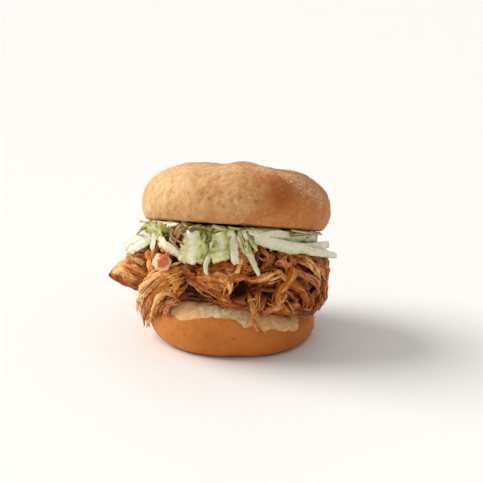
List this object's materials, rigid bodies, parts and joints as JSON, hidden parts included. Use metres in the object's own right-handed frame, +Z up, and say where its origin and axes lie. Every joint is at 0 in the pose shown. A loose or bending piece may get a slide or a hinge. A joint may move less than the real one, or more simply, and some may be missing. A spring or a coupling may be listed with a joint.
{
  "type": "pulled chicken sandwich roll",
  "caption": "Wheat bun filled with a heap of saucy pulled chicken and creamy cabbage slaw, leaning back under its crown.",
  "frame": {"origin": "centre of the heel's flat base", "axes": "+Z up, +X to the right of the open front, -Y out of the open front where the filling spills"},
  "size_m": [0.1259, 0.1074, 0.0998],
  "materials": {
    "heel_crust": "soft satin crust, with pale open crumb on the cut band",
    "pulled_chicken_meat": "fibrous, wet with barbecue sauce",
    "coleslaw_cabbage": "waxy leaf with a thin creamy dressing",
    "crown_crust": "soft satin crust with bran flecks",
    "tomato_flesh": "wet flesh"
  },
  "bodies": {
    "root": {"bun_heel": "heel_crust", "pulled_chicken": "pulled_chicken_meat", "coleslaw": "coleslaw_cabbage", "bun_crown": "crown_crust", "tomato_dice": "tomato_flesh"}
  },
  "joints": []
}
